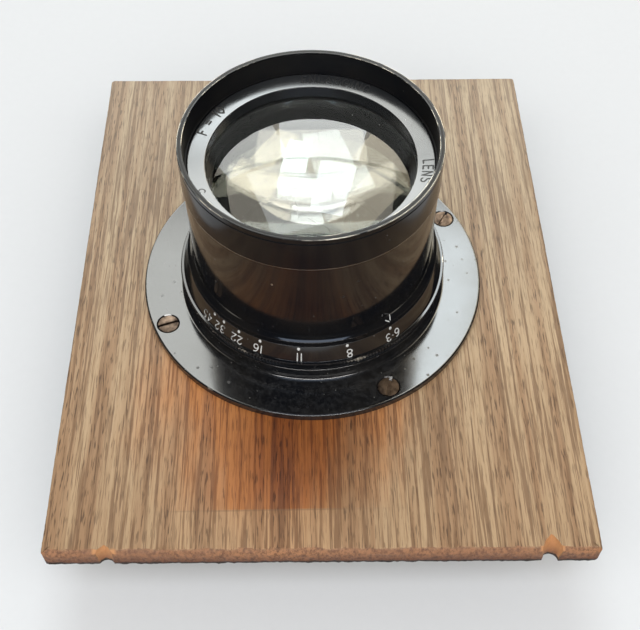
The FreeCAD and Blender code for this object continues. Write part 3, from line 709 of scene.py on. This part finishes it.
def stroke(bm, line, width, height, place, wear):
    """Rounded inlay along a flat line, laid on the surface by place(u, v, lift)."""
    wear_layer = bm.verts.layers.float["wear"]
    stations = []
    ends = (0.05, 0.5, 0.85, 1.0)
    first = (line[0] - line[1]).normalized()
    last = (line[-1] - line[-2]).normalized()
    for share in ends[:-1]:
        stations.append((line[0] + first * (width / 2) * math.sqrt(1 - share ** 2), -first, share))
    for k, point in enumerate(line):
        ahead = (line[min(k + 1, len(line) - 1)] - line[max(k - 1, 0)]).normalized()
        stations.append((point, ahead, 1.0))
    for share in reversed(ends[:-1]):
        stations.append((line[-1] + last * (width / 2) * math.sqrt(1 - share ** 2), last, share))
    section = ((-1, 0), (-0.6, 1), (0.6, 1), (1, 0), (0.6, -1), (-0.6, -1))
    loops = []
    for point, ahead, share in stations:
        across = Vector((-ahead.y, ahead.x))
        loop = []
        for side, lift in section:
            spot = point + across * (side * share * width / 2)
            vert = bm.verts.new(place(spot.x, spot.y, lift * share * height) * MM)
            vert[wear_layer] = wear
            loop.append(vert)
        loops.append(loop)
    for near, far in zip(loops, loops[1:]):
        for k in range(len(section)):
            j = (k + 1) % len(section)
            bm.faces.new((near[k], near[j], far[j], far[k]))
    bm.faces.new(loops[0])
    bm.faces.new(loops[-1])


def wrapped(angle, base, along):
    """Placing function for a turned surface: u runs clockwise from an angle, v along the surface."""
    radius, z = base
    rise = Vector(along).normalized()

    def place(u, v, lift):
        r = radius + v * rise.x - lift * rise.y
        height = z + v * rise.y + lift * rise.x
        return polar(r, angle - math.degrees(u / radius), height)
    return place


def write(bm, text, size, width, place, wear=0.0, gap=0.2):
    """Text centred on the placing function's origin."""
    total = sum(SIGNS[sign][0] + gap for sign in text) - gap
    cursor = -total / 2
    for sign in text:
        advance, strokes = SIGNS[sign]
        for kind, points in strokes:
            line = through(points) if kind == "curve" else [Vector(point) for point in points]
            if kind == "line":
                line = [line[0].lerp(line[1], step / 4) for step in range(5)]
            line = [Vector(((cursor + point.x) * size, (point.y - 0.5) * size)) for point in line]
            stroke(bm, line, width, 0.025, place, wear)
        cursor += advance + gap


def engraved(name, body, slot, material, writer):
    """One piece that holds all signs made by writer(bm)."""
    bm = bmesh.new()
    bm.verts.layers.float.new("wear")
    writer(bm)
    finish_with(new_object(name, bm, body, slot), material)


STOPS = (("45", 220.9, 217.0, 0.75), ("32", 226.9, 225.4, 0.6), ("22", 235.5, 235.0, 0.45),
         ("16", 246.1, 245.5, 0.15), ("11", 263.4, 263.8, 0.0), ("8", 284.5, 285.3, 0.0),
         ("6.3", 305.6, 306.2, 0.25))   # text, angle of its dot, angle of its numerals, lost paint
DOT_DROP = 0.72                     # from the cone's top edge to the middle of a dot, along the slope
NUMERAL_DROP = 3.1
NUMERAL_H = 2.2
STROKE_W = 0.27


def scale_marks(bm):
    """Stops on the cone, upside down seen from the front, with a dot above each."""
    down = (CONE_R[0] - CONE_R[1], ring_low.z + RIM_H - ring_high.z)
    edge = (CONE_R[1], ring_high.z)
    for text, dot_angle, angle, wear in STOPS:
        numerals = wrapped(angle, edge, down)
        write(bm, text, NUMERAL_H, STROKE_W, lambda u, v, lift: numerals(u, v + NUMERAL_DROP, -lift), wear)
        dot = wrapped(dot_angle, edge, down)
        line = [Vector((0, DOT_DROP - 0.06)), Vector((0, DOT_DROP + 0.06))]
        stroke(bm, line, 0.72, 0.03, lambda u, v, lift: dot(u, v, -lift), wear * 0.5)


INDEX_ANGLE = 305.6


def index_marks(bm):
    """Two strokes of an open V on the collar's sloping face, pointing at the stop in use."""
    wall_top = collar_low.z + COLLAR_WALL_H
    up = (BARREL_R - COLLAR_R, collar_high.z - wall_top)
    place = wrapped(INDEX_ANGLE, (COLLAR_R, wall_top), up)
    for start, end in (((0.85, 0.85), (0.25, 0.2)), ((-0.9, 1.5), (-0.25, 0.4))):
        line = [Vector(start).lerp(Vector(end), step / 4) for step in range(5)]
        stroke(bm, line, 0.26, 0.025, place, 0.1)


NAME_TEXTS = (("F = 10", 152.0, 0.5), ("ENLARGING", 76.0, 0.36), ("LENS", -10.0, 0.4), ("5", 202.0, 0.3))
NAME_TEXT_R = 27.3


def name_marks(bm):
    """Generic wording round the name ring, tops outward."""
    out = (NAME_RING_R - NAME_OPENING_R, NAME_FACE_Z[1] - NAME_FACE_Z[0])
    share = (NAME_TEXT_R - NAME_OPENING_R) / out[0]
    base = (NAME_TEXT_R, NAME_FACE_Z[0] + share * out[1])
    for text, angle, width in NAME_TEXTS:
        place = wrapped(angle, base, out)
        write(bm, text, 2.3, width, place, gap=0.28)


# ---------------------------------------------------------------- lens board
EDGE_REACH = 3.4        # width of the finely meshed strip along the board's edge
CORNER_R = 0.9


def board_path():
    """Points round the board before its skew, with the outward direction at each, corners rounded."""
    path = []
    corners = [Vector((x, y)) for x, y in (
        (board_low.x, FRONT_Y), (board_high.x, FRONT_Y), (board_high.x, BACK_Y), (board_low.x, BACK_Y))]
    for corner, following in zip(corners, corners[1:] + corners[:1]):
        along = (following - corner).normalized()
        outward = Vector((along.y, -along.x))
        centre = corner + (along - outward) * CORNER_R
        for step in range(4):
            turn = math.radians(90 * step / 4)
            direction = -along * math.cos(turn) + outward * math.sin(turn)
            path.append((centre + direction * CORNER_R, direction))
        straight = (following - corner).length - 2 * CORNER_R
        count = round(straight / 0.7)
        for step in range(count + 1):
            path.append((corner + along * (CORNER_R + straight * step / count), outward))
    return path


def board_profile(x, y, front):
    """Inset and height of the edge's cross-section, from the top face down to the bottom face."""
    seed = Vector((x * 0.11, y * 0.11, 3.0))
    worn = max(0.5 + 0.3 * noise.noise(seed * 0.8), 0.25)
    depth = 0.8 * worn
    hollow = 0.0
    if front:
        wave = 0.35 * noise.noise(Vector((x * 0.16, 0.0, 1.0))) + 0.3 * noise.noise(seed * 5)
        worn = BOARD_BEVEL * (1.1 + wave)
        depth = BOARD_BEVEL * (1.3 + 0.7 * wave)
        hollow = 0.6
    top, bottom = board_high.z, board_low.z
    profile = [(EDGE_REACH, top), (2.4, top)]
    for step in range(6):
        turn = math.radians(90 * step / 5)
        straight = step / 5
        inset = (1 - hollow) * (1 - math.sin(turn)) + hollow * (1 - straight)
        drop = (1 - hollow) * (1 - math.cos(turn)) + hollow * straight
        profile.append((worn * inset, top - depth * drop))
    for share in (0.2, 0.4, 0.6, 0.8):
        profile.append((0.0, top - depth + (bottom + 0.4 - top + depth) * share))
    for step in range(4):
        turn = math.radians(90 * step / 3)
        profile.append((0.4 * (1 - math.cos(turn)), bottom + 0.4 * (1 - math.sin(turn))))
    profile += [(2.4, bottom), (EDGE_REACH, bottom)]
    return profile


def edge_point(point, outward, inset, z, rough):
    """Point of the board's edge: roughened near the edge, kept inside the corners, and skewed."""
    x, y = point.x - outward.x * inset, point.y - outward.y * inset
    if inset > 2.0:
        x = min(max(x, board_low.x + inset), board_high.x - inset)
        y = min(max(y, FRONT_Y + inset), BACK_Y - inset)
    else:
        chip = noise.noise(Vector((x, y, z * 1.5)) * 0.9)
        fine = noise.noise(Vector((x, y, z)) * 2.6)
        push = rough * (1 + chip + 0.8 * fine)
        x -= outward.x * push
        y -= outward.y * push
    return Vector((x, y - BOARD_SKEW * x, z))


def board_shell():
    """Closed mesh of the board with its worn edges and the barrel's hole."""
    bm = bmesh.new()
    loops = []
    for point, outward in board_path():
        front = outward.y < -0.5
        rough = 0.2 if front else 0.06
        loops.append([bm.verts.new(edge_point(point, outward, inset, z, rough) * MM)
                      for inset, z in board_profile(point.x, point.y, front)])
    for near, far in zip(loops, loops[1:] + loops[:1]):
        for k in range(len(near) - 1):
            bm.faces.new((near[k], near[k + 1], far[k + 1], far[k]))
    bmesh.ops.remove_doubles(bm, verts=bm.verts, dist=0.002 * MM)
    borders = [edge for edge in bm.edges if edge.is_boundary]
    middle = (board_low.z + board_high.z) / 2 * MM
    steps = 96
    hole = [[bm.verts.new(polar(BOARD_HOLE_R, 360 * step / steps, z) * MM) for step in range(steps)]
            for z in (board_high.z, board_low.z)]
    for step in range(steps):
        j = (step + 1) % steps
        bm.faces.new((hole[0][step], hole[0][j], hole[1][j], hole[1][step]))
    for ring, above in zip(hole, (True, False)):
        edges = [edge for edge in borders if (edge.verts[0].co.z > middle) == above]
        edges += [bm.edges.get((a, b)) for a, b in zip(ring, ring[1:] + ring[:1])]
        bmesh.ops.triangle_fill(bm, use_beauty=True, edges=edges)
    return bm


def notch_cutter(name, centre, half_width, reach):
    """Round hole below, splintered to a pointed mouth at the top face."""
    bm = bmesh.new()
    top, bottom = board_high.z, board_low.z
    loops = []
    segments = 48
    for z, share in ((bottom - 1, 0), (bottom + 1.6, 0), (top - 2.9, 0.12), (top - 1.9, 0.42),
                     (top - 0.9, 0.78), (top, 1.0), (top + 0.6, 1.15)):
        loop = []
        for step in range(segments):
            turn = 2 * math.pi * step / segments
            across, inward = math.cos(turn), math.sin(turn)
            pointed = (abs(inward / reach) ** 1.3 + abs(across / half_width) ** 1.3) ** (-1 / 1.3)
            splinter = 0.22 * noise.noise(Vector((across * 3.0, inward * 3.0, z * 0.7 + centre[0])))
            radius = NOTCH_HOLE_R + share * (pointed - NOTCH_HOLE_R) + (0.3 + share) * splinter
            point = Vector((centre[0] + radius * across, centre[1] + radius * inward, z))
            loop.append(bm.verts.new(point * MM))
        loops.append(loop)
    for below, above in zip(loops, loops[1:]):
        for step in range(segments):
            j = (step + 1) % segments
            bm.faces.new((below[step], below[j], above[j], above[step]))
    bm.faces.new(loops[0])
    bm.faces.new(loops[-1])
    return new_object(name, bm, None, None)


def make_board():
    """Wooden board with worn, slightly ragged edges, pilot holes and two broken screw holes."""
    board = new_object("board_wood", board_shell(), "root", "lens_board", "lens_board")
    for number, (x, outset, (half_width, reach)) in enumerate(zip(NOTCH_X, NOTCH_OUTSET, NOTCH_BREAK)):
        centre = (x, FRONT_Y - BOARD_SKEW * x - outset)
        cut(board, notch_cutter("notch_%d" % number, centre, half_width, reach))
    top = board_high.z
    for number, angle in enumerate(SCREW_ANGLES):
        pilot_end = top + FLANGE_T - SCREW_LENGTH - 0.1
        levels = [(SCREW_SHANK_R + 0.05, pilot_end), (SCREW_SHANK_R + 0.05, top + 1)]
        cut(board, peg("pilot_%d" % number, levels, polar(SCREW_CIRCLE_R, angle)))
    finish_with(board, "lens_board")


# ---------------------------------------------------------------- surroundings
FLOOR_Z = -0.05                   # just under the rear rim, so that the two faces don't share a plane


def make_floor():
    """Plain pale floor under the rear rim."""
    bm = bmesh.new()
    half = 2500
    signs = ((-1, -1), (1, -1), (1, 1), (-1, 1))
    corners = [bm.verts.new(Vector((x * half, y * half, FLOOR_Z)) * MM) for x, y in signs]
    bm.faces.new(corners)
    floor = new_object("floor", bm, None, None)
    finish_with_paper(floor)


def finish_with_paper(floor):
    """The floor's own material."""
    floor.data.materials.append(paper())


TARGET = Vector((0, 0, 50))
LAMP_DISTANCE = 1500


def panel(name, sides, heights, radiance, colour=(1, 1, 1), seen=True, lit=True):
    """Area light that faces the lens and fills a range of sides and heights as seen from it.

    Sides are in degrees from +Y towards +X, and heights are degrees above the floor.  A panel that is
    not seen gives no reflection, and one that has not lit only gives a reflection.
    """
    turn = math.radians(sum(sides) / 2)
    rise = math.radians(sum(heights) / 2)
    direction = Vector((math.sin(turn) * math.cos(rise), math.cos(turn) * math.cos(rise), math.sin(rise)))
    light = bpy.data.lights.new(name, "AREA")
    light.shape = "RECTANGLE"
    half_side = math.radians(sides[1] - sides[0]) / 2
    half_height = math.radians(heights[1] - heights[0]) / 2
    light.size = 2 * LAMP_DISTANCE * math.tan(half_side) * math.cos(rise) * MM
    light.size_y = 2 * LAMP_DISTANCE * math.tan(half_height) * MM
    light.color = colour
    light.energy = radiance * math.pi * light.size * light.size_y
    lamp = bpy.data.objects.new(name, light)
    lamp.location = (TARGET + direction * LAMP_DISTANCE) * MM
    lamp.rotation_mode = "QUATERNION"
    lamp.rotation_quaternion = (-direction).to_track_quat("-Z", "Y")
    lamp.visible_camera = False
    lamp.visible_glossy = seen
    lamp.visible_transmission = seen
    lamp.visible_diffuse = lit
    bpy.context.scene.collection.objects.link(lamp)


WORLD_LIGHT = 0.34                # dim as light on the lens
WORLD_SEEN = 0.86                 # as pale to the camera as the floor is where it ends


def make_light():
    """Window panes behind and above the lens before a dim wall, soft fill from the front, and a ceiling."""
    sky = (0.86, 0.95, 1.0)
    wall = (1.0, 0.94, 0.80)
    beige = (1.0, 0.88, 0.62)
    panel("wall_low", (-42, 42), (8, 45), 2.9, wall, lit=False)
    panel("wall_high", (-42, 42), (46.5, 76), 2.9, wall, lit=False)
    panel("wall_right", (17, 42), (12, 45), 2.6, beige, lit=False)
    panel("wall_right_high", (21, 42), (46.5, 72), 2.6, beige, lit=False)
    panel("pane_left_low", (-30, -9), (25, 45), 3.5, sky, lit=False)
    panel("pane_right_low", (-9, 16), (25, 45), 4.8, sky, lit=False)
    panel("pane_left", (-30, 2), (46.5, 74), 3.2, sky, lit=False)
    panel("pane_right", (2, 20), (46.5, 68), 7.0, (0.80, 0.92, 1.0), lit=False)
    panel("daylight", (-30, 20), (50, 66), 6.5, sky, seen=False)
    panel("ceiling", (140, 220), (65, 79), 2.2, (0.72, 0.86, 1.1))
    panel("front_window", (150, 210), (34, 42), 14.0, (1.0, 0.98, 0.95), lit=False)
    panel("fill", (120, 240), (15, 80), 2.0, seen=False)
    world = bpy.data.worlds.new("room")
    bpy.context.scene.world = world
    world.use_nodes = True
    world.cycles_visibility.glossy = False
    tree = world.node_tree
    background = tree.nodes["Background"]
    background.inputs["Color"].default_value = rgb(1.0, 1.0, 1.0)
    seen = add(tree, "ShaderNodeLightPath").outputs["Is Camera Ray"]
    tree.links.new(between(tree, seen, 0.0, 1.0, WORLD_LIGHT, WORLD_SEEN), background.inputs["Strength"])


CAMERA_PLACE = Vector((-0.5, -171.2, 242.2))
CAMERA_TARGET = Vector((1.76, -12.81, 26.0))
CAMERA_ROLL = -0.209
CAMERA_LENS = 57.78


def make_camera():
    """Close hand-held view from above the scale side."""
    camera = bpy.data.cameras.new("camera")
    camera.lens = CAMERA_LENS
    camera.sensor_width = 36.0
    camera.clip_start = 0.01
    seen = bpy.data.objects.new("camera", camera)
    seen.location = CAMERA_PLACE * MM
    seen.rotation_mode = "QUATERNION"
    aim = (CAMERA_TARGET - CAMERA_PLACE).to_track_quat("-Z", "Y")
    seen.rotation_quaternion = aim @ Quaternion((0, 0, 1), math.radians(CAMERA_ROLL))
    bpy.context.scene.collection.objects.link(seen)
    bpy.context.scene.camera = seen
    bpy.context.scene.view_settings.view_transform = "Standard"


dress_frame()
make_board()
make_flange()
make_screws()
make_aperture_ring()
make_index_collar()
make_front_cell()
make_name_ring()
engraved("scale_marks", "aperture", "black_lacquer", "white_paint", scale_marks)
engraved("index_mark", "root", "black_lacquer", "white_paint", index_marks)
engraved("name_marks", "root", "satin_black", "black_paint", name_marks)
make_floor()
make_light()
make_camera()
